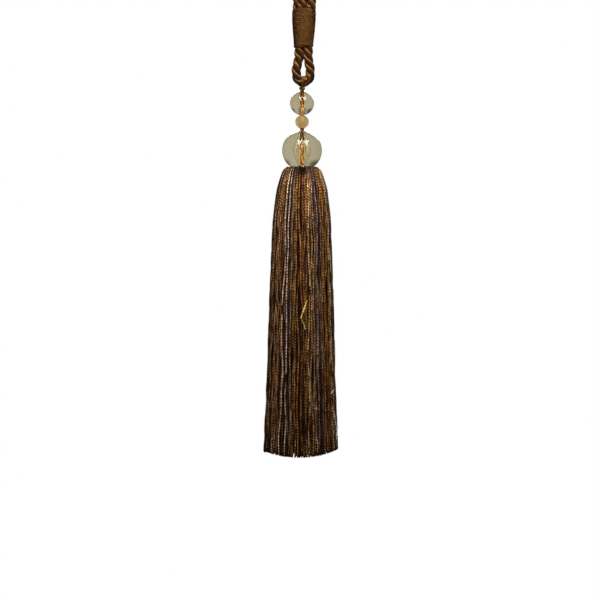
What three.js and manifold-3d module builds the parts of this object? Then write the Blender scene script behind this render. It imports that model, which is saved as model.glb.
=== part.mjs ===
// A tassel tieback that hangs by its two rope loops, in millimetres, +Z up, its front facing -Y.
// The origin is where the hook bears, at the inside top of both loops, above the tassel's weight.
// One rope makes both loops and the eye below the binding. A thread hitched round the eye carries
// three beads and the skirt of yarn.

import * as THREE from "three";
import { mergeVertices } from "three/addons/utils/BufferGeometryUtils.js";
import Module from "manifold-3d";

const wasm = await Module();
wasm.setup();

// Clearance between neighbouring pieces
const GAP = 0.3;
const SEAM_TOLERANCE = 1e-4;

// Rope
const ROPE_DIAMETER = 6.0;
const ROPE_SIDES = 10;
const LOOP_STEPS = 46;
const EYE_STEPS = 46;

// The four cords above the binding stand in two rows of two, nested into each other
const ROW_DEPTH_AT_BINDING = 2.75;
const ROW_DEPTH_AT_HOOK = 3.5;
const ROW_SHIFT = 1.55;
const BUNDLE_X = 1.6;
const FLARE_START = -34;
const FLARE_END = -9.4;

// One side of a hook loop, from the binding up: how far the cord is from the loop's middle line
const LOOP_ROUTE = [
  { spread: 3.1, z: -39.7 },
  { spread: 3.1, z: -36.5 },
  { spread: 3.3, z: -32 },
  { spread: 4.5, z: -27.5 },
  { spread: 6.8, z: -23 },
  { spread: 9.5, z: -18.5 },
  { spread: 11.6, z: -14 },
  { spread: 12.4, z: -9.4 },
  { spread: 11.46, z: -4.65 },
  { spread: 8.77, z: -0.63 },
  { spread: 4.75, z: 2.06 },
  { spread: 0, z: 3.0 },
];

// The eye below the binding, from its left leg round the bight to its right leg
const EYE_ROUTE = [
  { x: -2.05, z: -66.5 },
  { x: -2.05, z: -69.6 },
  { x: -2.1, z: -72.9 },
  { x: -2.85, z: -75.8 },
  { x: -3.55, z: -78.6 },
  { x: -3.95, z: -81.4 },
  { x: -3.8, z: -84.2 },
  { x: -3.05, z: -86.95 },
  { x: -1.5, z: -88.7 },
  { x: 0.6, z: -89.2 },
  { x: 2.8, z: -88.75 },
  { x: 4.55, z: -87.2 },
  { x: 5.4, z: -84.7 },
  { x: 5.55, z: -82 },
  { x: 5.25, z: -79.2 },
  { x: 4.75, z: -76.3 },
  { x: 4.15, z: -73.3 },
  { x: 4.1, z: -70 },
  { x: 4.1, z: -66.5 },
];
const BIGHT_X = 0.6;

// Binding of thread round the cords, widest near its top
const BINDING_SEGMENTS = 32;
const BINDING_TOP_X = 1.4;
const BINDING_BOTTOM_X = 1.0;
const BINDING_PROFILE = [
  { radius: 6.57, z: -66.2 },
  { radius: 6.52, z: -64.2 },
  { radius: 6.77, z: -60.8 },
  { radius: 7.15, z: -57.4 },
  { radius: 7.5, z: -54.1 },
  { radius: 7.69, z: -50.7 },
  { radius: 7.93, z: -47.4 },
  { radius: 7.95, z: -42 },
  { radius: 7.6, z: -40 },
];
// Shares of the binding's width that it measures from front to back
const BINDING_DEPTH_AT_TOP = 0.95;
const BINDING_DEPTH_AT_BOTTOM = 0.8;

// Thread that hitches round the bight, is knotted and runs down through the beads
const THREAD_RADIUS = 1.4;
const THREAD_SEGMENTS = 16;
const KNOT_ROWS = 10;
const HITCH_RADIUS = 4.05;
const HITCH_THICKNESS = 1.2;
const HITCH_SIDES = 8;
const HITCH_SEGMENTS = 24;
const HITCH_Z = -89.25;
const KNOT = { radius: 1.9, halfHeight: 1.2, z: -93.6 };
const THREAD_END = -157;

// Beads, each bored for the thread
const SMALL_BEAD = { radius: 8.235, z: -103.3, boreRadius: 1.83, bulge: 0, segments: 28, rows: 14 };
const MIDDLE_BEAD = { radius: 4.62, z: -116.06, boreRadius: 1.75, bulge: 0, segments: 24, rows: 10 };
const LARGE_BEAD = { radius: 13.64, z: -135.5, boreRadius: 1.8, bulge: 2.25, segments: 36, rows: 18 };
const BORE_ROWS = 8;
const BULGE_REACH = 0.65; // of half the bore's length, to each side of its middle

// Skirt of yarn: a domed head cupped under the large bead, and a flare down to the flat cut hem
const SKIRT_SEGMENTS = 64;
const SHOULDER_Z = -151.5;
const HEM_Z = -342.8;
const HEM_X = -0.9;
const CUP_ROWS = 4;
const CUP_RIM_RADIUS = 8.6;
const SOCKET = { radius: 1.75, z: -157.4 };
const SKIRT_PROFILE = [
  { radius: 9.6, z: -146.35 },
  { radius: 10.9, z: -146.75 },
  { radius: 12.1, z: -147.75 },
  { radius: 13.3, z: -148.9 },
  { radius: 14.5, z: SHOULDER_Z },
  { radius: 16.3, z: -157 },
  { radius: 17.4, z: -161.1 },
  { radius: 18.55, z: -169.3 },
  { radius: 20.05, z: -181.6 },
  { radius: 21.25, z: -206.4 },
  { radius: 22.2, z: -231.2 },
  { radius: 23.05, z: -256.2 },
  { radius: 23.8, z: -281.3 },
  { radius: 24.7, z: -306.4 },
  { radius: 25.45, z: -323.3 },
  { radius: 26.2, z: HEM_Z },
];
// The hanging yarns bunch into shallow uneven folds that grow towards the hem
const FOLDS = [
  { count: 5, depth: 0.25, turn: 0.4 },
  { count: 9, depth: 0.2, turn: 1.7 },
  { count: 14, depth: 0.15, turn: 2.9 },
];

const COLOURS = {
  rope: 0x42261a,
  thread: 0x7a4a22,
  clear: 0xafa483,
  pale: 0xa78c5a,
  yarn: 0x54381f,
};

function smooth(share) {
  const t = Math.min(1, Math.max(0, share));
  return t * t * (3 - 2 * t);
}

function mix(a, b, share) {
  return a + (b - a) * share;
}

// A closed tube of the rope's diameter along a smooth curve through the points
function ropeTube(points, steps) {
  const section = new THREE.Shape().absarc(0, 0, ROPE_DIAMETER / 2, 0, 2 * Math.PI);
  const extrudePath = new THREE.CatmullRomCurve3(points, false, "centripetal");
  return new THREE.ExtrudeGeometry(section, { steps, curveSegments: ROPE_SIDES / 2, extrudePath });
}

// A solid of revolution round Z from a profile of radii and heights that rises along its outside
function turned(profile, segments) {
  const points = profile.map(({ radius, z }) => new THREE.Vector2(radius, z));
  return new THREE.LatheGeometry(points, segments).rotateX(Math.PI / 2);
}

// Moves each vertex by a function of its place
function reshape(geometry, move) {
  const place = new THREE.Vector3();
  const { position } = geometry.attributes;
  for (let i = 0; i < position.count; i += 1) {
    place.fromBufferAttribute(position, i);
    move(place);
    position.setXYZ(i, place.x, place.y, place.z);
  }
  return geometry;
}

// A closed solid that can be united with others, from a geometry whose seams are still open
function asManifold(geometry) {
  const bare = geometry.clone().deleteAttribute("normal").deleteAttribute("uv");
  const merged = mergeVertices(bare, SEAM_TOLERANCE);
  const corners = merged.index.array;
  const kept = [];
  for (let i = 0; i < corners.length; i += 3) {
    const [a, b, c] = corners.slice(i, i + 3);
    if (a !== b && b !== c && c !== a) kept.push(a, b, c);
  }
  return new wasm.Manifold(
    new wasm.Mesh({
      numProp: 3,
      vertProperties: merged.attributes.position.array,
      triVerts: new Uint32Array(kept),
    }),
  );
}

// One closed piece from several that overlap
function joined(geometries) {
  const whole = geometries.map(asManifold).reduce((sum, solid) => sum.add(solid));
  const { vertProperties, triVerts } = whole.getMesh();
  return new THREE.BufferGeometry()
    .setAttribute("position", new THREE.BufferAttribute(vertProperties, 3))
    .setIndex(new THREE.BufferAttribute(triVerts, 1));
}

// A hook loop: side is -1 for the front row and 1 for the back row
function hookLoop(side) {
  const place = (hand, { spread, z }) => {
    const risen = smooth((z - FLARE_START) / (FLARE_END - FLARE_START));
    const middle = mix(BUNDLE_X - side * ROW_SHIFT, 0, risen);
    const depth = mix(ROW_DEPTH_AT_BINDING, ROW_DEPTH_AT_HOOK, risen);
    return new THREE.Vector3(middle + hand * spread, side * depth, z);
  };
  const left = LOOP_ROUTE.map((row) => place(-1, row));
  const right = LOOP_ROUTE.slice(0, -1)
    .reverse()
    .map((row) => place(1, row));
  return ropeTube([...left, ...right], LOOP_STEPS);
}

function ropeEye() {
  const points = EYE_ROUTE.map(({ x, z }) => new THREE.Vector3(x, 0, z));
  return ropeTube(points, EYE_STEPS);
}

function binding() {
  const bottom = BINDING_PROFILE[0].z;
  const top = BINDING_PROFILE[BINDING_PROFILE.length - 1].z;
  const profile = [{ radius: 0, z: bottom }, ...BINDING_PROFILE, { radius: 0, z: top }];
  return reshape(turned(profile, BINDING_SEGMENTS), (place) => {
    const risen = (place.z - bottom) / (top - bottom);
    place.x += mix(BINDING_BOTTOM_X, BINDING_TOP_X, risen);
    place.y *= mix(BINDING_DEPTH_AT_BOTTOM, BINDING_DEPTH_AT_TOP, risen);
  });
}

// The hitch is a ring round the bight, which runs along X there
function hitch() {
  return new THREE.TorusGeometry(HITCH_RADIUS, HITCH_THICKNESS / 2, HITCH_SIDES, HITCH_SEGMENTS)
    .rotateY(Math.PI / 2)
    .translate(BIGHT_X, 0, HITCH_Z);
}

function knot() {
  return new THREE.SphereGeometry(KNOT.radius, THREAD_SEGMENTS, KNOT_ROWS)
    .rotateX(Math.PI / 2)
    .scale(1, 1, KNOT.halfHeight / KNOT.radius)
    .translate(0, 0, KNOT.z);
}

function hangingThread() {
  const length = KNOT.z - THREAD_END;
  const thread = new THREE.CylinderGeometry(THREAD_RADIUS, THREAD_RADIUS, length, THREAD_SEGMENTS)
    .rotateX(Math.PI / 2)
    .translate(0, 0, KNOT.z - length / 2);
  return joined([hitch(), knot(), thread]);
}

// A ball with a hole through it along Z. The hole widens smoothly to its middle by its bulge.
function bead({ radius, z, boreRadius, bulge, segments, rows }) {
  const halfHeight = Math.sqrt(radius ** 2 - boreRadius ** 2);
  const start = Math.asin(boreRadius / radius);
  const profile = [];
  for (let i = 0; i <= rows; i += 1) {
    const angle = mix(Math.PI - start, start, i / rows);
    profile.push({ radius: radius * Math.sin(angle), z: radius * Math.cos(angle) });
  }
  for (let i = 1; i < BORE_ROWS; i += 1) {
    const share = 1 - (2 * i) / BORE_ROWS;
    const widened = (1 + Math.cos(Math.PI * Math.min(1, Math.abs(share) / BULGE_REACH))) / 2;
    profile.push({ radius: boreRadius + bulge * widened, z: halfHeight * share });
  }
  profile.push({ ...profile[0] });
  return turned(profile, segments).translate(0, 0, z);
}

function skirt() {
  const cupRadius = LARGE_BEAD.radius + GAP;
  const cup = [];
  for (let i = 0; i <= CUP_ROWS; i += 1) {
    const radius = mix(SOCKET.radius, CUP_RIM_RADIUS, i / CUP_ROWS);
    cup.push({ radius, z: LARGE_BEAD.z - Math.sqrt(cupRadius ** 2 - radius ** 2) });
  }
  const profile = [
    { radius: 0, z: HEM_Z },
    ...SKIRT_PROFILE.toReversed(),
    ...cup.toReversed(),
    SOCKET,
    { radius: 0, z: SOCKET.z },
  ];
  return reshape(turned(profile, SKIRT_SEGMENTS), (place) => {
    const fallen = Math.max(0, (SHOULDER_Z - place.z) / (SHOULDER_Z - HEM_Z));
    const radius = Math.hypot(place.x, place.y);
    const outside = radius > SOCKET.radius + GAP ? 1 : 0;
    const angle = Math.atan2(place.y, place.x);
    const fold = FOLDS.reduce((sum, f) => sum + f.depth * Math.cos(f.count * angle + f.turn), 0);
    const stretch = radius > 0 ? 1 + (outside * fallen * fold) / radius : 1;
    place.x = place.x * stretch + HEM_X * fallen * outside;
    place.y *= stretch;
  });
}

function piece(name, geometry, colour, finish = {}) {
  const material = new THREE.MeshStandardMaterial({
    color: colour,
    roughness: 0.7,
    metalness: 0,
    ...finish,
  });
  const mesh = new THREE.Mesh(geometry, material);
  mesh.name = name;
  return mesh;
}

const satin = { roughness: 0.45 };
const clear = { roughness: 0.05, transparent: true, opacity: 0.5 };
const polished = { roughness: 0.2 };

const rope = new THREE.Group();
rope.add(
  piece("rope_loop_front", hookLoop(-1), COLOURS.rope, satin),
  piece("rope_loop_back", hookLoop(1), COLOURS.rope, satin),
  piece("rope_eye", ropeEye(), COLOURS.rope, satin),
  piece("binding", binding(), COLOURS.thread, satin),
);

const tassel = new THREE.Group();
tassel.add(
  piece("hanging_thread", hangingThread(), COLOURS.thread, satin),
  piece("bead_small", bead(SMALL_BEAD), COLOURS.clear, clear),
  piece("bead_middle", bead(MIDDLE_BEAD), COLOURS.pale, polished),
  piece("bead_large", bead(LARGE_BEAD), COLOURS.clear, clear),
  piece("skirt", skirt(), COLOURS.yarn),
);

const tieback = new THREE.Group();
tieback.add(rope, tassel);

export default tieback;
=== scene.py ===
"""A tassel tieback as it hangs by its two rope loops, in a plain white studio.

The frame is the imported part: +Z up, front facing -Y, origin where the hook bears. Sizes below are
in millimetres. Rope and thread are laid from strands along the part's own routes, and each yarn is a
tube whose twist is in its material.
"""

import math

import bpy
import numpy as np
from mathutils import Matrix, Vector


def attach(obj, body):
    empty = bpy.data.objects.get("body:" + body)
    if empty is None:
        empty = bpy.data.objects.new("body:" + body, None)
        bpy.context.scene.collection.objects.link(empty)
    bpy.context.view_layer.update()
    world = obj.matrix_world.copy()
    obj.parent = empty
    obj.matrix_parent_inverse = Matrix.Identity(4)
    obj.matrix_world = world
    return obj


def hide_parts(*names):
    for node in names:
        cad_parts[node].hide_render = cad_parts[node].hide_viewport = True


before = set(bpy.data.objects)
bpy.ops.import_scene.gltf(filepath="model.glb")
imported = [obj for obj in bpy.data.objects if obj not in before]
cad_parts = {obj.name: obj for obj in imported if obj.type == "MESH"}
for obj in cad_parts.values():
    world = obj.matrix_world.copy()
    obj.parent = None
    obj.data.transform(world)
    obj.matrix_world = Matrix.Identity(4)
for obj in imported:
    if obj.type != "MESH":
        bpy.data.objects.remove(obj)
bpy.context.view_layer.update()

MM = 0.001
TURN = 2 * math.pi
S_LAY = -1

# Rope of three strands, laid left-handed
ROPE_DIAMETER = 6.6
ROPE_PITCH = 17.2
ROPE_STRANDS = 3
ROPE_PRESSED = 0.8  # of the circle that round strands would lie on, as they press into each other
ROPE_FIBRE_ANGLE = 27  # degrees that a strand's fibres turn back towards the rope's own line
PAINTED_HIGHLIGHT_ANGLE = 16  # degrees above level of the light from above for which the rope's painted highlight line is placed
ROPE_SIDES = 22
ROPE_STEP = 0.45

# The routes are the part's. A loop's row is its spread from the middle line and its height.
ROW_DEPTH_AT_BINDING = 2.75
ROW_DEPTH_AT_HOOK = 3.5
ROW_SHIFT = 1.55
BUNDLE_X = 1.6
FLARE_START = -34
FLARE_END = -9.4
LOOP_ROUTE = [
    (3.1, -39.7),
    (3.1, -36.5),
    (3.3, -32),
    (4.5, -27.5),
    (6.8, -23),
    (9.5, -18.5),
    (11.6, -14),
    (12.4, -9.4),
    (11.46, -4.65),
    (8.77, -0.63),
    (4.75, 2.06),
    (0, 3.0),
]
# Inside the binding the cords are squeezed towards its middle: share of their spread, and height
LOOP_SQUEEZE = [(0.6, -46), (0.68, -43), (0.84, -41)]
EYE_ROUTE = [
    (-2.05, -66.5),
    (-2.05, -69.6),
    (-2.1, -72.9),
    (-2.85, -75.8),
    (-3.55, -78.6),
    (-3.95, -81.4),
    (-3.8, -84.2),
    (-3.05, -86.95),
    (-1.5, -88.7),
    (0.6, -89.2),
    (2.8, -88.75),
    (4.55, -87.2),
    (5.4, -84.7),
    (5.55, -82),
    (5.25, -79.2),
    (4.75, -76.3),
    (4.15, -73.3),
    (4.1, -70),
    (4.1, -66.5),
]
EYE_SQUEEZE = [(0.72, -61), (0.85, -64.5)]
EYE_MIDDLE_X = 1.0

# Binding of two-ply thread
BINDING_TOP = -40.7
BINDING_BOTTOM = -65.6
BINDING_TOP_X = 1.4
BINDING_BOTTOM_X = 1.0
BINDING_DEPTH_AT_TOP = 0.95
BINDING_DEPTH_AT_BOTTOM = 0.8
BINDING_PROFILE = [
    (6.57, -66.2),
    (6.52, -64.2),
    (6.77, -60.8),
    (7.15, -57.4),
    (7.5, -54.1),
    (7.69, -50.7),
    (7.93, -47.4),
    (7.95, -42),
    (7.6, -40),
]
WRAP_PROUD = 0.25
WRAP_PITCH = 1.2
WRAP_THREAD = 1.36
WRAP_TWIST = 3.4
WRAP_STEP = 0.32
WRAP_FIBRE_ANGLE = 32
TUCK_TURNS = 0.12
WRAP_SIDES = 7
# Wavelength along the thread, and size, of its light and dark stretches: of each ply and of both
PLY_UNEVEN = (3.1, 0.35)
WRAP_UNEVEN = (19, 0.35)
CORE_INSET = 0.8
# painted shade: the filling inside the windings and its tail take the grooves' shaded colour, darkened to
# this share
CORE_SHADE = 0.4
# a dark tail that stands in for the shade in the gap between the eye's legs
TAIL_RADIUS = 0.9
TAIL_END = -73.6

# Thread hitched round the bight, knotted, and run down through the beads
THREAD_STRANDS = 5
THREAD_DIAMETER = 2.85
THREAD_SWELL = 1.04  # of a strand's radius, so that the strands press into each other
THREAD_SIDES = 12
THREAD_TWIST = 26
THREAD_GRAIN = 3.0
THREAD_FIBRE_ANGLE = 12
THREAD_TOP = -94.2
THREAD_END = -156.6
THREAD_STEP = 0.35
THREAD_TINT = 0.8  # of the thread's colour where it isn't lit
GLOW_TINTS = [(2.8, 2.8, 2.2), (3.4, 4.2, 4.6)]  # painted light: amber tints in the small and in the large clear bead, which lights the thread
GLOW_TOP = 0.55  # of the bead's radius, above its middle
GLOW_FADE = 0.8
PLY_SWELL = 1.08
PLY_SIDES = 8
PLIED_TWIST = 2.6
PLIED_FIBRE_ANGLE = 30
HITCH_THREAD = 1.05
HITCH_TURNS = [(0.0, 3.8), (1.1, 3.85)]  # place along X and radius of each turn
HITCH_Z = -89.2
HITCH_TINT = 0.6
HITCH_STEPS = 73
# Share that is left of each turn's place along X, its depth and its height where they are drawn together
HITCH_DRAWN = (0.1, 0.72, 1.08)
LUMP = (1.75, -3.2, -87.5)  # where the hitch is tied, at the front of the bight
LUMP_RADIUS = 1.15
LUMP_RISE = 0.6
LUMP_TURNS = 2.5
LUMP_THREAD = 0.95
# painted light: the lump's tint is raised far above the thread's elsewhere, which also gives it painted
# glints
LUMP_TINT = 3.6
SLACK_LOOP = [
    (1.9, -3.0, -87.2),
    (1.5, -2.8, -86.2),
    (2.1, -2.8, -85.5),
    (3.0, -3.1, -85.6),
    (3.4, -3.4, -86.5),
    (3.0, -3.4, -87.4),
]
SLACK_THREAD = 0.55
SLACK_TINT = 0.7
KNOT_Z = -93.35
KNOT_RADIUS = 1.5
KNOT_RISE = 1.05
KNOT_TURNS = 3.5
KNOT_THREAD = 1.2
WOUND_STEPS = 161
WOUND_LATITUDE = 65  # degrees of the first and the last wind of a wound ball

# Beads: centre height, radius, radius of the bore's mouth and how far the bore bulges
SMALL_BEAD = (-103.3, 8.235, 1.83, 0.0)
MIDDLE_BEAD = (-116.06, 4.62, 1.75, 0.0)
LARGE_BEAD = (-135.5, 13.64, 1.8, 2.25)
MOUTH_ROUND = 0.25
MOUTH_SUNK = 0.8  # of the mouth's round, below the last row of the outside
MOUTH_ROWS = 6
BEAD_ROWS = 60
BEAD_SEGMENTS = 128
BORE_ROWS = 36
BULGE_REACH = 0.65  # of half the bore's length, to each side of its middle

# Skirt of yarn
HEM_Z = -342.8
HEM_X = -0.9
HEM_TILT = 0.02
HEM_UNEVEN = 0.08
HEM_CORNER_LIFT = 3.3
SHOULDER_Z = -151.5
CUP_GAP = 0.3
YARN_RADIUS = 0.43
YARN_TWIST = 3.9
SKIRT_PROFILE = [
    (9.6, -146.35),
    (10.9, -146.75),
    (12.1, -147.75),
    (13.3, -148.9),
    (14.5, SHOULDER_Z),
    (16.3, -157),
    (17.4, -161.1),
    (18.55, -169.3),
    (20.05, -181.6),
    (21.25, -206.4),
    (22.2, -231.2),
    (23.05, -256.2),
    (23.8, -281.3),
    (24.7, -306.4),
    (25.45, -323.3),
    (26.2, HEM_Z),
]
TUCK_ANGLE = 0.5
TUCK_START = 14
TUCK_LENGTH = 6
TUCK_SHADE = 0.97
YARN_SIDES = 6
TOP_STEP = 1.4
HEM_STEP = 3.3
FINE_LENGTH = 34  # of the yarn's top, which is stepped finely
# Layers of yarn: piece, number, least and most depth of its deeper and of its shallower yarns, which lie
# by turns, and share of its colour, lower for the deeper layer as painted shade
SKIRT_LAYERS = [
    ("skirt_yarns_outer", 180, (1.3, 1.8), (0.45, 1.1), 0.88),
    ("skirt_yarns_second", 168, (2.1, 3.0), (1.4, 2.2), 0.44),
]
SHALLOW = 0.5  # depth of a yarn in full light and of one in full shade
DEEP = 2.1
SHADED_TINT = 0.22
SUNK_AT_HEM = 0.5  # how far every other yarn still lies below its neighbours at the hem
# Wavelength and size of a yarn's swings in and out, and sideways, and of its light and dark stretches,
# which are both uneven tone and painted highlight and shade
ROLLING = (32, 0.85)
SWAYS = [(90, 1.1), (30, 0.35)]
UNEVEN_TINTS = [(60, 0.35), (16, 0.4)]
BUNCHING = [(13, 0.009), (23, 0.007), (41, 0.005)]  # waves round the skirt, and size in radians
EMERGES = (0.02, 0.6)  # share of the way down at which a deeper yarn starts to come up
EMERGING = 0.25  # share of the way down that it takes for that
INNER_YARNS = 560
INNER_STEPS = 20
INNER_SIDES = 5
INNER_THICKNESS = 1.2
INNER_TOP = -160
INNER_INSET = 2.4
INNER_SHADE = 0.14
INNER_SWAY = (90, 0.9)
CUT_END_TINT = 5  # times the yarn's colour, at the cut ends that show from below, where it lifts the inner yarns' painted shade

# Colours of the light and the dark yarns, which lie by turns, and how many of each in every eight
LIGHT_YARNS = [
    (4, (0.290, 0.122, 0.029)),
    (1, (0.220, 0.080, 0.018)),
    (1, (0.430, 0.310, 0.185)),
    (2, (0.290, 0.195, 0.145)),
]
DARK_YARNS = [
    (4, (0.105, 0.045, 0.016)),
    (4, (0.028, 0.012, 0.011)),
]
CROSSED_SHARE = 0.2  # of the yarns have a colour of the other kind
# Loose yarns on the skirt's front: colour, radius, and route as (x, z)
STRAYS = [
    ((0.85, 0.50, 0.12), 0.36, [(3.2, -237.2), (1.9, -241.0), (0.5, -245.0), (-0.8, -248.9)]),
    ((0.45, 0.26, 0.08), 0.36, [(-0.8, -248.9), (1.1, -252.7), (2.3, -256.9)]),
    ((0.75, 0.60, 0.42), 0.34, [(21.7, -299.3), (20.9, -300.3), (19.9, -301.4)]),
    (
        (0.62, 0.50, 0.38),
        0.38,
        [(20.6, -311.3), (21.7, -314.3), (22.6, -318.7), (23.3, -323.8), (23.7, -330.2), (23.8, -335.0)],
    ),
]
STRAY_LIFT = -0.1  # of a loose yarn's middle line above the skirt's outline
STRAY_STEP = 0.8
STRAY_SIDES = 8

# Rope's colours: painted shade between its strands, their own colour on them, painted sheen beside their
# painted highlight line, and that painted highlight
ROPE_GROOVE_SHADE = (0.004, 0.0012, 0.0010, 1)
ROPE_BODY = (0.028, 0.0104, 0.0036, 1)
ROPE_PAINTED_SHEEN = (0.078, 0.031, 0.009, 1)
ROPE_PAINTED_HIGHLIGHT = (0.210, 0.096, 0.024, 1)

# Threads' colours: painted shade in their grooves and their own colour on their crests; and the colour of
# their painted glints
BINDING_COLOURS = [(0.0025, 0.0010, 0.0005, 1), (0.018, 0.0054, 0.0013, 1)]
HANGING_COLOURS = [(0.02, 0.008, 0.004, 1), (0.100, 0.040, 0.010, 1)]
PAINTED_GLINT = (1.0, 0.78, 0.42, 1)

# Beads' colours: both ends of each mix. The bore's second one is for where it is seen edge on.
GLASS_TINTS = [(0.380, 0.335, 0.212, 1), (0.455, 0.400, 0.262, 1)]
BORE_EDGE_TINTS = [(1.0, 0.93, 0.70, 1), (0.13, 0.10, 0.015, 1)]
MILKY_TINTS = [(0.280, 0.216, 0.098, 1), (0.320, 0.250, 0.114, 1)]
MILKY_BELOW = (0.365, 0.224, 0.085, 1)
MILKY_BORE_TINTS = [(0.245, 0.172, 0.074, 1), (0.29, 0.207, 0.090, 1)]

# Camera, and where the photograph's middle column and eye level are
CAMERA_X = -1.4
CAMERA_DISTANCE = 704
EYE_LEVEL = -194.66
PITCH_DOWN = 3.534
SENSOR = 36.0
LENS = 61.2

# Lights in metres: name, place, aim, width and height, power, colour
BEADS = (0, 0, -0.12)
MIDDLE = (0, 0, -0.19)
WINDOWS = [
    ("window_left", (-0.068, -0.208, 0.038), BEADS, (0.142, 0.17), 1.0, (0.98, 0.99, 1.0)),
    ("window_right", (0.109, -0.2, 0.038), BEADS, (0.178, 0.17), 1.2, (0.98, 0.99, 1.0)),
]
KEY = ("key", (-0.01, -0.32, 0.06), MIDDLE, (0.2, 0.12), 1.35, (1.0, 0.97, 0.92))
BACK = ("back", (0.03, 0.32, 0.06), MIDDLE, (0.3, 0.2), 1.3, (1.0, 0.98, 0.95))

# Studio
WHITE = (1, 1, 1, 1)
DARK_CORNER = (0.10, 0.11, 0.11, 1)
FILL_ABOVE = (0.06, 0.06, 0.06, 1)
FILL_BELOW = (0.16, 0.155, 0.15, 1)
FLOOR_COLOUR = (0.85, 0.85, 0.84, 1)
FLOOR_RADIUS = 600
FLOOR_HEIGHT = -695
FLOOR_SEGMENTS = 96


def smooth(share):
    share = np.clip(share, 0, 1)
    return share * share * (3 - 2 * share)


def mix(a, b, share):
    return a + (b - a) * share


def along(line):
    """Distance of each point from the line's start."""
    return np.concatenate([[0], np.cumsum(np.linalg.norm(np.diff(line, axis=0), axis=1))])


def curve(points, step):
    """A centripetal Catmull-Rom curve through the points, stepped evenly."""
    p = np.array(points, float)
    p = np.vstack([2 * p[0] - p[1], p, 2 * p[-1] - p[-2]])
    dense = []
    for a, b, c, d in zip(p, p[1:], p[2:], p[3:]):
        knots = np.cumsum([0] + [np.linalg.norm(n - m) ** 0.5 for m, n in ((a, b), (b, c), (c, d))])
        t = np.linspace(knots[1], knots[2], 16, endpoint=False)[:, None]

        def blend(m, n, i, j):
            return ((knots[j] - t) * m + (t - knots[i]) * n) / (knots[j] - knots[i])

        ab, bc, cd = blend(a, b, 0, 1), blend(b, c, 1, 2), blend(c, d, 2, 3)
        dense.append(blend(blend(ab, bc, 0, 2), blend(bc, cd, 1, 3), 1, 2))
    line = np.vstack([*dense, p[-2]])
    distance = along(line)
    even = np.linspace(0, distance[-1], max(2, round(distance[-1] / step) + 1))
    return np.stack([np.interp(even, distance, axis) for axis in line.T], axis=1)


def unit(vectors):
    return vectors / np.linalg.norm(vectors, axis=-1, keepdims=True)


def carried_frames(lines):
    """Tangent, and two directions across it that don't twist, at each point of (line, point, xyz)."""
    tangent = unit(np.gradient(lines, axis=1))
    side = np.where(np.abs(tangent[:, 0, 2:]) < 0.9, [[0, 0, 1.0]], [[1.0, 0, 0]])
    normal = np.empty_like(tangent)
    for i in range(lines.shape[1]):
        side = unit(side - np.sum(side * tangent[:, i], axis=1, keepdims=True) * tangent[:, i])
        normal[:, i] = side
    return tangent, normal, np.cross(tangent, normal)


def laid(line, strands, lay_radius, pitch, hand):
    """The lines of the strands that twist round one line."""
    _, normal, binormal = (a[0] for a in carried_frames(line[None]))
    turned = hand * along(line) / pitch
    lines = []
    for k in range(strands):
        angle = (TURN * (turned + k / strands))[:, None]
        lines.append(line + lay_radius * (np.cos(angle) * normal + np.sin(angle) * binormal))
    return np.array(lines)


def packed_strand(diameter, strands):
    """Radius of the strands that make up a thread of this diameter, and of the circle they lie on."""
    spread = 1 / math.sin(math.pi / strands)
    radius = diameter / 2 / (1 + spread)
    return radius, radius * spread


def quads_between(low, high):
    """Quads from each ring of vertex numbers in low to the same ring in high."""
    low_next, high_next = np.roll(low, -1, axis=-1), np.roll(high, -1, axis=-1)
    return np.stack([low, low_next, high_next, high], axis=-1).reshape(-1, 4).tolist()


def add_piece(name, vertices, faces, material, node):
    """A new mesh that rides on the part and stands for one of its nodes."""
    mesh = bpy.data.meshes.new(name)
    mesh.from_pydata((np.asarray(vertices) * MM).tolist(), [], faces)
    mesh.polygons.foreach_set("use_smooth", [len(face) == 4 for face in faces])
    mesh.materials.append(material)
    piece = bpy.data.objects.new(name, mesh)
    bpy.context.scene.collection.objects.link(piece)
    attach(piece, "root")
    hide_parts(node)
    return piece


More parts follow.
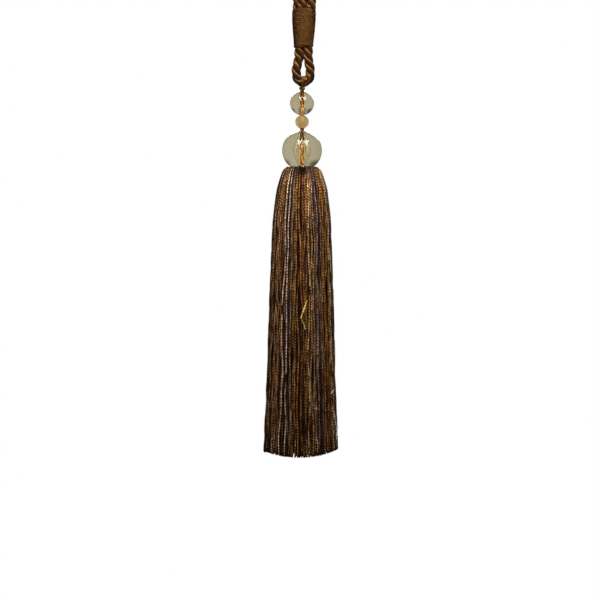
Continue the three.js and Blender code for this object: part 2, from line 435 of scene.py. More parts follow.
def tube_parts(lines, radius, sides, pitch, tint=None, axis=None, fibre_angle=0, start=0.0):
    """Closed tubes along (tube, step, xyz) as arrays for add_tubes.

    U goes once round, and V along from its start, once a pitch. Crest is 1 where a strand faces
    away from its axis. The satin's fibres turn back from the tube's line by the fibre angle, and
    across is the direction on the surface at right angles to them. The painted highlight value is 0
    where they would gleam under a light from above; the rope's material paints its highlight there.
    """
    tubes, steps, _ = lines.shape
    tangent, normal, binormal = carried_frames(lines)
    angle = TURN * np.arange(sides) / sides
    ring = np.cos(angle)[:, None] * normal[:, :, None] + np.sin(angle)[:, None] * binormal[:, :, None]
    radii = np.broadcast_to(radius, (tubes, steps))[:, :, None, None]
    vertices = (lines[:, :, None] + radii * ring).reshape(-1, 3)
    index = np.arange(tubes * steps * sides).reshape(tubes, steps, sides)
    faces = quads_between(index[:, :-1], index[:, 1:])
    faces += index[:, 0, ::-1].tolist() + index[:, -1].tolist()

    lengths = np.array([along(line) for line in lines]) / pitch + np.reshape(start, (-1, 1))
    u = np.broadcast_to(np.arange(sides) / sides, (tubes, steps - 1, sides))
    low = np.broadcast_to(lengths[:, :-1, None], u.shape)
    high = np.broadcast_to(lengths[:, 1:, None], u.shape)
    corners = [(u, low), (u + 1 / sides, low), (u + 1 / sides, high), (u, high)]
    uv = np.stack([np.stack(corner, axis=-1) for corner in corners], axis=-2).reshape(-1, 2)
    caps = np.zeros((2 * tubes * sides, 2))

    if axis is None:
        crest = np.ones((tubes, steps, sides))
    else:
        crest = np.sum(ring * unit(lines - axis)[:, :, None], axis=-1)
    if tint is None:
        tint = np.ones((1, 1, 3))
    turned = math.radians(fibre_angle) * S_LAY
    sideways = np.cross(ring, tangent[:, :, None])
    across = math.cos(turned) * sideways - math.sin(turned) * tangent[:, :, None]
    fibre = math.cos(turned) * tangent[:, :, None] + math.sin(turned) * sideways
    level = ring * (1, 1, 0)
    level = level / np.maximum(np.linalg.norm(level, axis=-1, keepdims=True), 1e-3)
    gleam = math.cos(math.radians(PAINTED_HIGHLIGHT_ANGLE)) * level
    gleam[..., 2] += math.sin(math.radians(PAINTED_HIGHLIGHT_ANGLE))
    painted_highlight = np.sum(fibre * gleam, axis=-1)
    return {
        "vertices": vertices,
        "faces": faces,
        "uv": np.vstack([uv, caps]),
        "tint": np.broadcast_to(tint[:, :, None], (tubes, steps, sides, 3)).reshape(-1, 3),
        "crest": crest.reshape(-1),
        "across": across.reshape(-1, 3),
        "painted_highlight": painted_highlight.reshape(-1),
    }


def add_tubes(name, parts, material, node):
    """One piece from one or more results of tube_parts."""
    first = np.cumsum([0] + [len(part["vertices"]) for part in parts])
    faces = [[i + start for i in face] for part, start in zip(parts, first) for face in part["faces"]]

    def joined(key):
        return np.concatenate([part[key] for part in parts])

    piece = add_piece(name, joined("vertices"), faces, material, node)
    mesh = piece.data
    uv = mesh.uv_layers.new(name="turns")
    uv.data.foreach_set("uv", joined("uv").astype(np.float32).ravel())
    tint = joined("tint")
    colour = mesh.color_attributes.new("tint", "FLOAT_COLOR", "POINT")
    rgba = np.hstack([tint, np.ones((len(tint), 1))]).astype(np.float32)
    colour.data.foreach_set("color", rgba.ravel())
    for key in ("crest", "painted_highlight"):
        attribute = mesh.attributes.new(key, "FLOAT", "POINT")
        attribute.data.foreach_set("value", joined(key).astype(np.float32))
    across = mesh.attributes.new("across", "FLOAT_VECTOR", "POINT")
    across.data.foreach_set("vector", joined("across").astype(np.float32).ravel())
    return piece


# Materials


def add_node(tree, kind, inputs=None, **settings):
    """A node with its settings, and each input given a value or linked to a socket."""
    node = tree.nodes.new(kind)
    for key, value in settings.items():
        setattr(node, key, value)
    for key, value in (inputs or {}).items():
        if isinstance(value, bpy.types.NodeSocket):
            tree.links.new(value, node.inputs[key])
        else:
            node.inputs[key].default_value = value
    return node


def calc(tree, operation, a, b=0.0):
    return add_node(tree, "ShaderNodeMath", {0: a, 1: b}, operation=operation).outputs[0]


def blend_colour(tree, share, a, b, kind="MIX"):
    inputs = {0: share, 6: a, 7: b}
    return add_node(tree, "ShaderNodeMix", inputs, data_type="RGBA", blend_type=kind).outputs[2]


def times(tree, a, b):
    """The product of two colours."""
    return blend_colour(tree, 1.0, a, b, "MULTIPLY")


def attribute(tree, name, output="Fac"):
    return add_node(tree, "ShaderNodeAttribute", attribute_name=name).outputs[output]


def speckle(tree, scale, detail):
    """Noise by place on the object."""
    place = add_node(tree, "ShaderNodeTexCoord").outputs["Object"]
    inputs = {"Vector": place, "Scale": scale, "Detail": detail}
    return add_node(tree, "ShaderNodeTexNoise", inputs).outputs["Fac"]


def add_bump(tree, surface, height, strength, distance):
    inputs = {"Strength": strength, "Distance": distance * MM, "Height": height}
    bump = add_node(tree, "ShaderNodeBump", inputs)
    tree.links.new(bump.outputs[0], surface.inputs["Normal"])


def new_material(name, **values):
    """A material with one Principled shader whose sockets have these values."""
    material = bpy.data.materials.new(name)
    material.use_nodes = True
    tree = material.node_tree
    surface = tree.nodes["Principled BSDF"]
    for key, value in values.items():
        surface.inputs[key.replace("_", " ")].default_value = value
    return material, tree, surface


def ramp(tree, share, low, high, to_low=0.0, to_high=1.0):
    """share carried from low..high to to_low..to_high, smoothly."""
    inputs = {"Value": share, "From Min": low, "From Max": high, "To Min": to_low, "To Max": to_high}
    return add_node(tree, "ShaderNodeMapRange", inputs, interpolation_type="SMOOTHSTEP").outputs[0]


def turns(tree):
    """Sockets of U, round a tube, and V, along it."""
    uv = add_node(tree, "ShaderNodeUVMap", uv_map="turns")
    split = add_node(tree, "ShaderNodeSeparateXYZ", {0: uv.outputs[0]})
    return split.outputs[0], split.outputs[1]


def filaments(tree, u, v, round_count, along_count, fibre_turns):
    """Noise drawn out along the fibres, which go this many times round the tube in each V."""
    back = calc(tree, "MULTIPLY", v, fibre_turns)
    across = calc(tree, "MULTIPLY", calc(tree, "SUBTRACT", u, back), round_count)
    lengthwise = calc(tree, "MULTIPLY", v, along_count)
    place = add_node(tree, "ShaderNodeCombineXYZ", {0: across, 1: lengthwise})
    noise = add_node(tree, "ShaderNodeTexNoise", {"Vector": place.outputs[0], "Scale": 1.0, "Detail": 3.0})
    return noise.outputs["Fac"]


def comb(tree, surface):
    """Turns the satin's gloss so that it spreads across the fibres."""
    turned = add_node(
        tree,
        "ShaderNodeVectorTransform",
        {0: attribute(tree, "across", "Vector")},
        vector_type="VECTOR",
        convert_from="OBJECT",
        convert_to="WORLD",
    )
    tree.links.new(turned.outputs[0], surface.inputs["Tangent"])


def rope_material():
    """Satin strands, with painted shade between them and a painted golden highlight line along each."""
    material, tree, surface = new_material(
        "rope_satin",
        Roughness=0.42,
        Specular_IOR_Level=0.2,
        Specular_Tint=(1.0, 0.62, 0.20, 1),
        Anisotropic=1.0,
    )
    comb(tree, surface)
    u, v = turns(tree)
    fibre = filaments(tree, u, v, 26.0, 5.0, 0.9)
    crest = attribute(tree, "crest")
    # painted shade: darker towards the grooves between the strands
    body = blend_colour(tree, ramp(tree, crest, 0.0, 0.8), ROPE_GROOVE_SHADE, ROPE_BODY)
    # painted highlight: a golden line where the fibres would gleam under a light from above, with painted
    # sheen beside it
    off_highlight = calc(tree, "ABSOLUTE", attribute(tree, "painted_highlight"))
    raised = ramp(tree, crest, 0.2, 0.6)
    sheen_share = calc(tree, "MULTIPLY", ramp(tree, off_highlight, 0.03, 0.20, 0.5, 0.0), raised)
    sheened = blend_colour(tree, sheen_share, body, ROPE_PAINTED_SHEEN)
    core = calc(tree, "MULTIPLY", ramp(tree, off_highlight, 0.02, 0.08, 1.0, 0.0), raised)
    broken = calc(tree, "MULTIPLY", core, ramp(tree, fibre, 0.3, 0.6, 0.45, 1.0))
    lit = blend_colour(tree, broken, sheened, ROPE_PAINTED_HIGHLIGHT)
    streaked = times(tree, lit, ramp(tree, fibre, 0.3, 0.7, 0.75, 1.2))
    tree.links.new(streaked, surface.inputs["Base Color"])
    add_bump(tree, surface, fibre, 0.2, 0.1)
    return material


def thread_material(name, colours, roughness, ior):
    """Satin thread: its tint times a blotchy, streaked brown, with painted shade in its grooves and painted
    glints where its tint paints it as lit.
    """
    material, tree, surface = new_material(
        name,
        IOR=ior,
        Specular_IOR_Level=0.9,
        Specular_Tint=(1.0, 0.45, 0.13, 1),
        Anisotropic=1.0,
    )
    comb(tree, surface)
    u, v = turns(tree)
    fibre = filaments(tree, u, v, 10.0, 3.0, 0.9)
    glint_noise = filaments(tree, u, v, 3.0, 1.7, 0.5)
    blotches = speckle(tree, 700.0, 2.0)
    # painted shade: darker towards the grooves between plies and strands
    body = blend_colour(tree, ramp(tree, attribute(tree, "crest"), 0.1, 0.95), *colours)
    tinted = times(tree, body, attribute(tree, "tint", "Color"))
    blotchy = times(tree, tinted, ramp(tree, blotches, 0.38, 0.62, 0.15, 2.3))
    streaked = times(tree, blotchy, ramp(tree, fibre, 0.3, 0.7, 0.6, 1.3))
    # painted glints where the tint is raised as painted light, in the clear beads and on the lump
    lit = ramp(tree, attribute(tree, "tint"), 2.5, 6.0)
    glint_share = calc(tree, "MULTIPLY", lit, ramp(tree, glint_noise, 0.55, 0.64))
    glinted = blend_colour(tree, glint_share, streaked, PAINTED_GLINT)
    tree.links.new(glinted, surface.inputs["Base Color"])
    gloss = ramp(tree, blotches, 0.4, 0.6, roughness + 0.25, roughness - 0.05)
    tree.links.new(gloss, surface.inputs["Roughness"])
    height = calc(tree, "ADD", fibre, calc(tree, "MULTIPLY", blotches, 6.0))
    add_bump(tree, surface, height, 0.5, 0.05)
    return material


def yarn_material():
    """Twisted yarn: its turns stand out as a bump, with painted shade in their grooves and a painted
    highlight on them, and painted shade on its flanks.
    """
    material, tree, surface = new_material("yarn_twisted", Roughness=0.6, Specular_IOR_Level=0.1)
    u, v = turns(tree)
    patches = filaments(tree, u, v, 0.0, 0.9, 0.0)
    fibre = filaments(tree, u, v, 7.0, 2.2, 0.4)
    uneven = calc(tree, "MULTIPLY", patches, 1.6)
    wound = calc(tree, "ADD", calc(tree, "ADD", u, calc(tree, "MULTIPLY", v, 2.0)), uneven)
    ply = calc(tree, "COSINE", calc(tree, "MULTIPLY", wound, TURN))
    # painted shade in the twist's grooves and painted highlight on its turns
    twist_shaded = times(tree, attribute(tree, "tint", "Color"), ramp(tree, ply, -0.4, 0.8, 0.4, 1.7))
    patchy = times(tree, twist_shaded, ramp(tree, patches, 0.32, 0.68, 0.45, 1.6))
    streaked = times(tree, patchy, ramp(tree, fibre, 0.3, 0.7, 0.75, 1.25))
    # painted shade on the flanks, between neighbouring yarns
    shaded = times(tree, streaked, ramp(tree, attribute(tree, "crest"), 0.3, 0.95, 0.15, 1.15))
    tree.links.new(shaded, surface.inputs["Base Color"])
    height = calc(tree, "ADD", calc(tree, "MULTIPLY", ply, 0.5), calc(tree, "MULTIPLY", fibre, 0.25))
    add_bump(tree, surface, height, 0.9, 0.2)
    return material


def clear_bead_material():
    """Champagne glass with faint streaks in its tint."""
    material, tree, surface = new_material(
        "clear_bead",
        Roughness=0.0,
        IOR=1.49,
        Transmission_Weight=1.0,
    )
    streaks = ramp(tree, speckle(tree, 60.0, 3.0), 0.3, 0.7)
    tree.links.new(blend_colour(tree, streaks, *GLASS_TINTS), surface.inputs["Base Color"])
    return material


def bore_material():
    """The inside of a clear bead's bore, olive and less clear where it is seen edge on."""
    material, tree, surface = new_material("clear_bead_bore", Roughness=0.0, IOR=1.49)
    facing = add_node(tree, "ShaderNodeLayerWeight", {"Blend": 0.5}).outputs["Facing"]
    outline = ramp(tree, facing, 0.45, 0.7)
    rim = calc(tree, "MULTIPLY", ramp(tree, facing, 0.17, 0.25), ramp(tree, facing, 0.27, 0.36, 1.0, 0.0))
    edge = calc(tree, "MAXIMUM", outline, calc(tree, "MULTIPLY", rim, 0.8))
    tree.links.new(blend_colour(tree, edge, *BORE_EDGE_TINTS), surface.inputs["Base Color"])
    let_through = calc(tree, "SUBTRACT", 1.0, calc(tree, "MULTIPLY", edge, 0.85))
    tree.links.new(let_through, surface.inputs["Transmission Weight"])
    return material


def pale_bead_material():
    """Milky beige bead that lets light through, warmer below."""
    material, tree, surface = new_material(
        "pale_bead",
        Roughness=0.6,
        IOR=1.2,
        Specular_IOR_Level=0.6,
        Transmission_Weight=0.8,
    )
    milky = blend_colour(tree, ramp(tree, speckle(tree, 260.0, 3.0), 0.3, 0.7), *MILKY_TINTS)
    place = add_node(tree, "ShaderNodeTexCoord").outputs["Object"]
    height = add_node(tree, "ShaderNodeSeparateXYZ", {0: place}).outputs[2]
    centre, radius = MIDDLE_BEAD[0] * MM, MIDDLE_BEAD[1] * MM
    low = ramp(tree, height, centre - radius, centre + 0.4 * radius, 0.5, 0.0)
    warm = blend_colour(tree, low, milky, MILKY_BELOW)
    tree.links.new(warm, surface.inputs["Base Color"])
    return material


def pale_bore_material():
    """The hole of the milky bead, whose warm wall shows through it."""
    material, tree, surface = new_material("pale_bead_bore", Roughness=0.8)
    warm = blend_colour(tree, speckle(tree, 300.0, 2.0), *MILKY_BORE_TINTS)
    tree.links.new(warm, surface.inputs["Base Color"])
    return material


# Rope


def loop_points(side):
    """Points of one hook loop. side is -1 for the front row and 1 for the back row."""
    rows = [(share * LOOP_ROUTE[0][0], z, share) for share, z in LOOP_SQUEEZE]
    rows += [(spread, z, 1.0) for spread, z in LOOP_ROUTE]

    def place(hand, spread, z, share):
        risen = smooth((z - FLARE_START) / (FLARE_END - FLARE_START))
        shift = mix(BUNDLE_X - side * ROW_SHIFT * share, 0, risen)
        depth = share * mix(ROW_DEPTH_AT_BINDING, ROW_DEPTH_AT_HOOK, risen)
        return shift + hand * spread, side * depth, z

    left = [place(-1, *row) for row in rows]
    right = [place(1, *row) for row in reversed(rows[:-1])]
    return left + right


def eye_points():
    def squeezed(end, share, z):
        return mix(EYE_MIDDLE_X, end, share), 0, z

    start, end = EYE_ROUTE[0][0], EYE_ROUTE[-1][0]
    into = [squeezed(start, share, z) for share, z in EYE_SQUEEZE]
    out = [squeezed(end, share, z) for share, z in reversed(EYE_SQUEEZE)]
    return into + [(x, 0, z) for x, z in EYE_ROUTE] + out


def add_rope(name, points, node, material):
    line = curve(points, ROPE_STEP)
    lay_radius = ROPE_PRESSED * packed_strand(ROPE_DIAMETER, ROPE_STRANDS)[1]
    radius = ROPE_DIAMETER / 2 - lay_radius
    strands = laid(line, ROPE_STRANDS, lay_radius, ROPE_PITCH, S_LAY)
    part = tube_parts(strands, radius, ROPE_SIDES, ROPE_PITCH, axis=line, fibre_angle=ROPE_FIBRE_ANGLE)
    rope = add_tubes(name, [part], material, node)


# Binding


def binding_line():
    """The middle line of the thread as it winds down the binding."""
    turned = (BINDING_TOP - BINDING_BOTTOM) / WRAP_PITCH
    circumference = TURN * BINDING_PROFILE[4][0]
    t = np.linspace(0, turned, round(turned * circumference / WRAP_STEP))
    z = mix(BINDING_TOP, BINDING_BOTTOM, t / turned)
    radii, heights = zip(*BINDING_PROFILE)
    radius = np.interp(z, heights, radii) + WRAP_PROUD - WRAP_THREAD / 2
    tucked = smooth(1 - t / TUCK_TURNS) + smooth(1 - (turned - t) / TUCK_TURNS)
    radius -= tucked * WRAP_THREAD
    return binding_place(radius, TURN * t, z)


def binding_place(radius, angle, z):
    """A point round the binding, which leans a little and is shallower from front to back."""
    risen = (z - BINDING_PROFILE[0][1]) / (BINDING_PROFILE[-1][1] - BINDING_PROFILE[0][1])
    x = mix(BINDING_BOTTOM_X, BINDING_TOP_X, risen) + radius * np.cos(angle)
    y = mix(BINDING_DEPTH_AT_BOTTOM, BINDING_DEPTH_AT_TOP, risen) * radius * np.sin(angle)
    return np.stack(np.broadcast_arrays(x, y, z), axis=-1)


def core_part(segments=64):
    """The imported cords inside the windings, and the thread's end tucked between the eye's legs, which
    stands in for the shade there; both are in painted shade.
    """
    rows = [(radius - CORE_INSET, z) for radius, z in BINDING_PROFILE]
    rows[0] = (rows[0][0], rows[0][1] + CORE_INSET)
    rows[-1] = (rows[-1][0], rows[-1][1] - CORE_INSET)
    tail = [(0.01, TAIL_END), (TAIL_RADIUS, TAIL_END + TAIL_RADIUS), (TAIL_RADIUS, rows[0][1])]
    rows = tail + rows + [(0.01, rows[-1][1])]
    angle = TURN * np.arange(segments) / segments
    vertices = np.array([binding_place(radius, angle, z) for radius, z in rows])
    index = np.arange(len(rows) * segments).reshape(len(rows), segments)
    faces = quads_between(index[:-1], index[1:]) + [index[0, ::-1].tolist(), index[-1].tolist()]
    corners = sum(len(face) for face in faces)
    count = len(rows) * segments
    return {
        "vertices": vertices.reshape(-1, 3),
        "faces": faces,
        "uv": np.zeros((corners, 2)),
        "tint": np.full((count, 3), CORE_SHADE),
        "crest": np.zeros(count),
        "across": np.tile([0, 0, 1.0], (count, 1)),
        "painted_highlight": np.ones(count),
    }


def add_binding(material):
    line = binding_line()
    radius, lay_radius = packed_strand(WRAP_THREAD, 2)
    plies = laid(line, 2, lay_radius, WRAP_TWIST, S_LAY)
    rng = np.random.default_rng(5)
    distance = along(line)
    uneven = wander(rng, 2, distance, *PLY_UNEVEN) + wander(rng, 1, distance, *WRAP_UNEVEN)
    tint = np.exp(uneven)[:, :, None] * np.ones(3)
    part = tube_parts(plies, radius * PLY_SWELL, WRAP_SIDES, WRAP_TWIST, tint, line, WRAP_FIBRE_ANGLE)
    add_tubes("binding_windings", [part, core_part()], material, "binding")


# Hanging thread


def hitch_lines():
    """The thread's turns round the bight, drawn together at the knot below it."""
    lines = []
    closer, narrower, longer = HITCH_DRAWN
    for x, radius in HITCH_TURNS:
        angle = np.linspace(0, TURN, HITCH_STEPS)
        gathered = smooth((0.2 - np.cos(angle)) / 1.2)
        place = np.stack(
            [
                mix(x, closer * x, gathered),
                radius * np.sin(angle) * mix(1, narrower, gathered),
                HITCH_Z + radius * np.cos(angle) * mix(1, longer, gathered),
            ],
            axis=1,
        )
        lines.append(place)
    return lines


def wound_ball(centre, radius, rise, winds):
    """The line of a thread wound into a small ball."""
    t = np.linspace(0, 1, WOUND_STEPS)
    angle = TURN * winds * t
    latitude = np.radians(mix(-WOUND_LATITUDE, WOUND_LATITUDE, t)) + 0.35 * np.sin(angle)
    x = radius * np.cos(latitude) * np.cos(angle)
    y = radius * np.cos(latitude) * np.sin(angle)
    return np.array(centre) + np.stack([x, y, rise * np.sin(latitude)], axis=1)


def plied(line, diameter, shade):
    """A two-ply thread along the line, with this share of the thread's colour."""
    radius, lay_radius = packed_strand(diameter, 2)
    plies = laid(line, 2, lay_radius, PLIED_TWIST, S_LAY)
    tint = np.full((1, 1, 3), shade)
    return tube_parts(plies, radius * PLY_SWELL, PLY_SIDES, PLIED_TWIST, tint, line, PLIED_FIBRE_ANGLE)


def glow(z):
    """Tint along the thread: brown, with amber painted light in the lower part of each clear bead, which
    lights it.
    """
    tint = np.full((len(z), 3), THREAD_TINT)
    for (height, radius, _, _), glow_tint in zip((SMALL_BEAD, LARGE_BEAD), GLOW_TINTS):
        inside = np.abs(z - height) < radius
        lowered = smooth((height + GLOW_TOP * radius - z) / (GLOW_FADE * radius))
        tint = mix(tint, np.array(glow_tint), (inside * lowered)[:, None])
    return tint


def add_thread(material):
    drop = np.arange(THREAD_TOP, THREAD_END, -THREAD_STEP)
    line = np.stack([0 * drop, 0 * drop, drop], axis=1)
    radius, lay_radius = packed_strand(THREAD_DIAMETER, THREAD_STRANDS)
    strands = laid(line, THREAD_STRANDS, lay_radius, THREAD_TWIST, S_LAY)
    radius *= THREAD_SWELL
    tint = glow(drop)[None]
    parts = [tube_parts(strands, radius, THREAD_SIDES, THREAD_GRAIN, tint, line, THREAD_FIBRE_ANGLE)]
    parts += [plied(turn, HITCH_THREAD, HITCH_TINT) for turn in hitch_lines()]
    lump = wound_ball(LUMP, LUMP_RADIUS, LUMP_RISE, LUMP_TURNS)
    parts.append(plied(lump, LUMP_THREAD, LUMP_TINT))
    parts.append(plied(curve(SLACK_LOOP, 0.2), SLACK_THREAD, SLACK_TINT))
    knot = wound_ball((0, 0, KNOT_Z), KNOT_RADIUS, KNOT_RISE, KNOT_TURNS)
    parts.append(plied(knot, KNOT_THREAD, 1.0))
    add_tubes("hanging_thread_strands", parts, material, "hanging_thread")


# Beads


def bead_profile(radius, bore, bulge):
    """Outline of a bored ball's section: up its outside, over a rounded mouth and down its bore."""
    start = math.asin((bore + MOUTH_ROUND) / radius)
    outline = [
        (radius * math.sin(a), radius * math.cos(a))
        for a in np.linspace(math.pi - start, start, BEAD_ROWS)
    ]
    mouth = outline[-1][1]
    lip = [
        (bore + MOUTH_ROUND * (1 - math.sin(a)), mouth + MOUTH_ROUND * (math.cos(a) - MOUTH_SUNK))
        for a in np.linspace(0, math.pi / 2, MOUTH_ROWS)[1:]
    ]
    outline += lip
    inner = mouth - MOUTH_ROUND
    for share in np.linspace(1, -1, BORE_ROWS)[1:-1]:
        widened = (1 + math.cos(math.pi * min(1, abs(share) / BULGE_REACH))) / 2
        outline.append((bore + bulge * widened, inner * share))
    return np.array(outline + [(r, -z) for r, z in reversed(lip)])


def add_bead(name, bead, materials, node):
    """A bored bead, with one material for its outside and one for its bore. It casts no shadow."""
    height, radius, bore, bulge = bead
    outline = bead_profile(radius, bore, bulge)
    angle = TURN * np.arange(BEAD_SEGMENTS) / BEAD_SEGMENTS
    r, z = outline[:, :1], outline[:, 1:]
    vertices = np.stack(np.broadcast_arrays(r * np.cos(angle), r * np.sin(angle), z + height), axis=-1)
    index = np.arange(len(outline) * BEAD_SEGMENTS).reshape(len(outline), BEAD_SEGMENTS)
    faces = quads_between(index, np.roll(index, -1, axis=0))
    outside, lining = materials
    piece = add_piece(name, vertices.reshape(-1, 3), faces, outside, node)
    piece.data.materials.append(lining)
    bored = np.repeat(np.arange(len(outline)) >= BEAD_ROWS - 1, BEAD_SEGMENTS)
    piece.data.polygons.foreach_set("material_index", bored.astype(np.int32))
    piece.visible_shadow = False


# Skirt


def wander(rng, count, distance, wavelength, size):
    """A smooth random swing along each of count yarns."""
    total = np.zeros((count, len(distance)))
    for _ in range(3):
        wave = wavelength * rng.uniform(0.7, 1.5, (count, 1))
        total += np.sin(TURN * (distance[None] / wave + rng.uniform(0, 1, (count, 1))))
    return size * total / 3


def skirt_surface():
    """Radius and height, inward direction and distance along the skirt's outside, bead to hem."""
    cup = LARGE_BEAD[1] + CUP_GAP
    inner = [(r, LARGE_BEAD[0] - math.sqrt(cup**2 - r**2)) for r in (2.2, 4.5, 7.0)]
    line = curve(inner + SKIRT_PROFILE, 0.25)
    distance = along(line)
    coarse = round((distance[-1] - FINE_LENGTH) / HEM_STEP) + 1
    stops = [np.arange(0, FINE_LENGTH, TOP_STEP), np.linspace(FINE_LENGTH, distance[-1], coarse)]
    stops = np.concatenate(stops)
    line = np.stack([np.interp(stops, distance, axis) for axis in line.T], axis=1)
    tangent = unit(np.gradient(line, stops, axis=0))
    inward = np.stack([tangent[:, 1], -tangent[:, 0]], axis=1)
    return line, inward, stops


def skirt_radius(z):
    """Radius of the skirt's outside at these heights."""
    radii, heights = zip(*reversed(SKIRT_PROFILE))
    return np.interp(z, heights, radii)


def hem_cut(rng, x, r):
    """How much higher than the lowest yarn each one is cut."""
    side = np.abs(x) / np.maximum(r, 1)
    corner = side**3 * np.sqrt(np.clip(1 - side**2, 0, 1)) * r / SKIRT_PROFILE[-1][0]
    return HEM_TILT * x + HEM_CORNER_LIFT * corner + rng.normal(0, HEM_UNEVEN, (len(x), 1))


def outer_lines(rng, count, deeper, shallower):
    """Lines of yarns just under the skirt's surface, by turns deeper, with their radius and depth."""
    line, inward, distance = skirt_surface()
    fallen = distance / distance[-1]
    angle = TURN * (np.arange(count) + rng.uniform(-0.35, 0.35, count))[:, None] / count
    for waves, size in BUNCHING:
        phase = rng.uniform(0, TURN)
        turn = rng.uniform(-4, 4)
        angle = angle + size * np.sin(waves * angle + phase + turn * fallen) * smooth(fallen * 3)
    emerged = smooth((fallen[None] - rng.uniform(*EMERGES, (count, 1))) / EMERGING)
    shallow, deep = rng.uniform(*shallower, (count, 1)), rng.uniform(*deeper, (count, 1))
    under = (np.arange(count) % 2)[:, None] * mix(1, SUNK_AT_HEM, emerged)
    rolling = wander(rng, count, distance, *ROLLING) * smooth(fallen * 4)
    depth = np.maximum(mix(shallow, deep, under) + rolling, SHALLOW - 0.1)
    r = line[None, :, 0] + depth * inward[None, :, 0]
    z = line[None, :, 1] + depth * inward[None, :, 1]
    sway = sum(wander(rng, count, distance, *swing) for swing in SWAYS)
    angle = angle + sway * smooth(fallen * 2.5) / np.maximum(r, 8)
    x = r * np.cos(angle) + HEM_X * fallen
    y = r * np.sin(angle)
    z = z + hem_cut(rng, x, r) * smooth(fallen * 4 - 3)
    radius = np.minimum(YARN_RADIUS, np.maximum(0.2, 1.8 * math.pi * r / count))
    return np.stack([x, y, z], axis=-1), radius, depth


def inner_lines(rng, count):
    """Yarns that fill the skirt, seen between the outer ones and from below."""
    share = np.sqrt(rng.uniform(0.002, 1, (count, 1)))
    angle = rng.uniform(0, TURN, (count, 1))
    t = np.linspace(0, 1, INNER_STEPS) ** 1.3
    top = mix(INNER_TOP, SHOULDER_Z, share)
    z = mix(top, HEM_Z, t[None])
    r = share * (skirt_radius(z) - INNER_INSET) * smooth((top - z + 3) / 13)
    fallen = (SHOULDER_Z - z) / (SHOULDER_Z - HEM_Z)
    distance = t * (SHOULDER_Z - HEM_Z)
    angle = angle + wander(rng, count, distance, *INNER_SWAY) / np.maximum(r, 6)
    x = r * np.cos(angle) + HEM_X * fallen
    y = r * np.sin(angle)
    z = z + hem_cut(rng, x, r) * smooth(fallen * 4 - 3)
    return np.stack([x, y, z], axis=-1)


def yarn_colours(rng, count, kinds):
    """Colours for count yarns. Each run of eight has every colour as often as its kind says."""
    run = np.array([colour for often, colour in kinds for _ in range(often)])
    return np.concatenate([rng.permutation(run) for _ in range(count // len(run) + 1)])[:count]


def yarn_tints(rng, count, distance, shade):
    """A colour for each yarn, uneven along it as tone and as painted highlight and shade. Light and dark
    yarns lie by turns.
    """
    light, dark = yarn_colours(rng, count, LIGHT_YARNS), yarn_colours(rng, count, DARK_YARNS)
    is_light = (np.arange(count) % 2 == 0) ^ (rng.uniform(0, 1, count) < CROSSED_SHARE)
    chosen = np.where(is_light[:, None], light, dark)
    chosen = chosen * np.exp(rng.normal(0, 0.2, (count, 1))) * rng.uniform(0.94, 1.06, (count, 3))
    uneven = np.exp(sum(wander(rng, count, distance, *swing) for swing in UNEVEN_TINTS))
    return shade * chosen[:, None] * uneven[:, :, None]


def tuck_shade(lines, distance):
    """The shade where the front yarns turn in under the large bead."""
    angle = np.arctan2(lines[:, :, 1], lines[:, :, 0]) + math.pi / 2
    front = np.exp(-((angle / TUCK_ANGLE) ** 2))
    above = 1 - smooth((distance - TUCK_START) / TUCK_LENGTH)
    return (1 - TUCK_SHADE * front * above[None])[:, :, None]


def add_skirt(material):
    rng = np.random.default_rng(11)
    distance = skirt_surface()[2]
    for name, count, deeper, shallower, shade in SKIRT_LAYERS:
        start = rng.uniform(0, 90, count)
        lines, radius, depth = outer_lines(rng, count, deeper, shallower)
        # painted shade: deeper yarns are darker
        depth_shade = mix(1.0, SHADED_TINT, smooth((depth - SHALLOW) / (DEEP - SHALLOW)))[:, :, None]
        tint = yarn_tints(rng, count, distance, shade) * tuck_shade(lines, distance) * depth_shade
        axis = lines * (0, 0, 1)
        part = tube_parts(lines, radius, YARN_SIDES, YARN_TWIST, tint, axis=axis, start=start)
        add_tubes(name, [part], material, "skirt")
    lines = inner_lines(rng, INNER_YARNS)
    tint = yarn_tints(rng, INNER_YARNS, along(lines[0]), INNER_SHADE)
    tint[:, -1] *= CUT_END_TINT
    part = tube_parts(lines, YARN_RADIUS * INNER_THICKNESS, INNER_SIDES, YARN_TWIST, tint)
    add_tubes("skirt_yarns_inner", [part], material, "skirt")


def on_surface(x, z, lift):
    """A point on the skirt's front at this place across and this height."""
    middle = HEM_X * (SHOULDER_Z - z) / (SHOULDER_Z - HEM_Z)
    r = skirt_radius(z) + lift
    return x, -math.sqrt(max(r**2 - (x - middle) ** 2, 0)), z


def add_strays(material):
    """A few yarns that have come loose and lie across the others."""
    parts = []
    for colour, radius, route in STRAYS:
        line = curve([on_surface(x, z, STRAY_LIFT) for x, z in route], STRAY_STEP)[None]
        tint = np.broadcast_to(np.array(colour), (1, line.shape[1], 3))
        parts.append(tube_parts(line, radius, STRAY_SIDES, YARN_TWIST, tint))
    add_tubes("skirt_yarns_loose", parts, material, "skirt")


# Studio


def add_area_light(name, place, target, size, power, colour):
    light = bpy.data.lights.new(name, "AREA")
    light.shape = "RECTANGLE"
    light.size, light.size_y = size
    light.energy = power
    light.color = colour
    lamp = bpy.data.objects.new(name, light)
    bpy.context.scene.collection.objects.link(lamp)
    lamp.location = place
    direction = Vector(target) - Vector(place)
    lamp.rotation_euler = direction.to_track_quat("-Z", "Y").to_euler()
    lamp.visible_camera = False
    return lamp


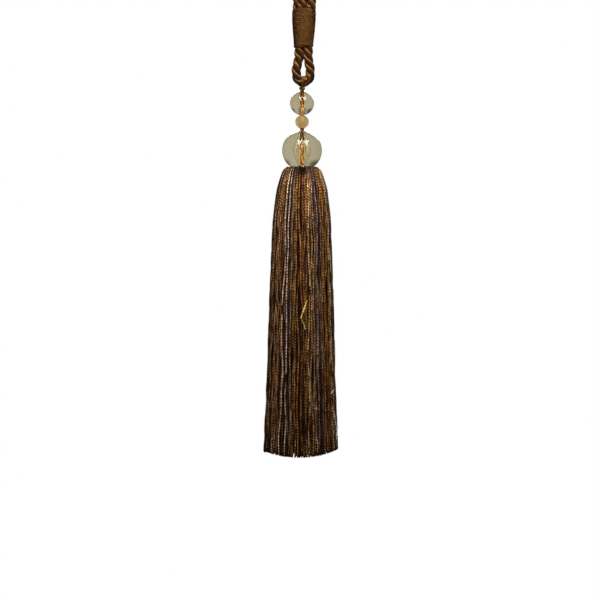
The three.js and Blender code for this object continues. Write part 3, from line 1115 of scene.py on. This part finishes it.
def draw_to_point(lamp):
    """Narrows an area light towards its lower edge, so that it glints as a triangle."""
    light = lamp.data
    light.use_nodes = True
    tree = light.node_tree
    place = add_node(tree, "ShaderNodeNewGeometry").outputs["Parametric"]
    split = add_node(tree, "ShaderNodeSeparateXYZ", {0: place})
    off_centre = calc(tree, "ABSOLUTE", calc(tree, "SUBTRACT", split.outputs[0], 0.5))
    half_width = calc(tree, "MULTIPLY", split.outputs[1], 0.5)
    lit = calc(tree, "LESS_THAN", off_centre, half_width)
    tree.links.new(lit, tree.nodes["Emission"].inputs["Strength"])


def add_world():
    """White behind the object, dim light all round, and two dark corners overhead for the glass to show."""
    world = bpy.data.worlds.new("studio")
    bpy.context.scene.world = world
    world.use_nodes = True
    tree = world.node_tree
    direction = add_node(tree, "ShaderNodeTexCoord").outputs["Generated"]
    split = add_node(tree, "ShaderNodeSeparateXYZ", {0: direction})
    high = ramp(tree, split.outputs[2], 0.34, 0.62)
    sideways = calc(tree, "ABSOLUTE", calc(tree, "SUBTRACT", split.outputs[0], 0.12))
    corner = calc(tree, "MULTIPLY", high, ramp(tree, sideways, 0.26, 0.62))
    seen_through = blend_colour(tree, corner, WHITE, DARK_CORNER)
    rays = add_node(tree, "ShaderNodeLightPath")
    below = ramp(tree, split.outputs[2], -0.2, -0.8)
    fill = blend_colour(tree, below, FILL_ABOVE, FILL_BELOW)
    indirect = blend_colour(tree, rays.outputs["Is Transmission Ray"], fill, seen_through)
    colour = blend_colour(tree, rays.outputs["Is Camera Ray"], indirect, WHITE)
    tree.links.new(colour, tree.nodes["Background"].inputs["Color"])


def add_floor():
    """A small pale disc of floor below the view."""
    angle = TURN * np.arange(FLOOR_SEGMENTS) / FLOOR_SEGMENTS
    x, y = FLOOR_RADIUS * np.cos(angle), FLOOR_RADIUS * np.sin(angle)
    ring = np.stack([x, y, np.full(FLOOR_SEGMENTS, FLOOR_HEIGHT)], axis=1)
    mesh = bpy.data.meshes.new("floor")
    mesh.from_pydata((ring * MM).tolist(), [], [list(range(FLOOR_SEGMENTS))])
    material, _, _ = new_material(
        "floor_pale",
        Base_Color=FLOOR_COLOUR,
        Roughness=0.8,
        Emission_Color=FLOOR_COLOUR,
        Emission_Strength=0.75,
    )
    mesh.materials.append(material)
    floor = bpy.data.objects.new("floor", mesh)
    bpy.context.scene.collection.objects.link(floor)
    floor.visible_transmission = False
    floor.visible_glossy = False
    floor.visible_diffuse = False


def add_camera():
    data = bpy.data.cameras.new("camera")
    data.sensor_width = SENSOR
    data.lens = LENS
    data.clip_start = 0.01
    camera = bpy.data.objects.new("camera", data)
    bpy.context.scene.collection.objects.link(camera)
    camera.location = (CAMERA_X * MM, -CAMERA_DISTANCE * MM, EYE_LEVEL * MM)
    camera.rotation_euler = (math.radians(90 - PITCH_DOWN), 0, 0)
    bpy.context.scene.camera = camera


rope_satin = rope_material()
add_rope("rope_loop_front_strands", loop_points(-1), "rope_loop_front", rope_satin)
add_rope("rope_loop_back_strands", loop_points(1), "rope_loop_back", rope_satin)
add_rope("rope_eye_strands", eye_points(), "rope_eye", rope_satin)
add_binding(thread_material("binding_thread", BINDING_COLOURS, roughness=0.40, ior=1.9))
add_thread(thread_material("hanging_thread", HANGING_COLOURS, roughness=0.45, ior=1.6))

glass = (clear_bead_material(), bore_material())
milky = (pale_bead_material(), pale_bore_material())
add_bead("bead_small_glass", SMALL_BEAD, glass, "bead_small")
add_bead("bead_large_glass", LARGE_BEAD, glass, "bead_large")
add_bead("bead_middle_milky", MIDDLE_BEAD, milky, "bead_middle")

yarn = yarn_material()
add_skirt(yarn)
add_strays(yarn)

add_world()
add_floor()
for window in WINDOWS:
    draw_to_point(add_area_light(*window))
add_area_light(*KEY).visible_glossy = False
add_area_light(*BACK).visible_transmission = False
add_camera()
bpy.context.scene.view_settings.view_transform = "Standard"
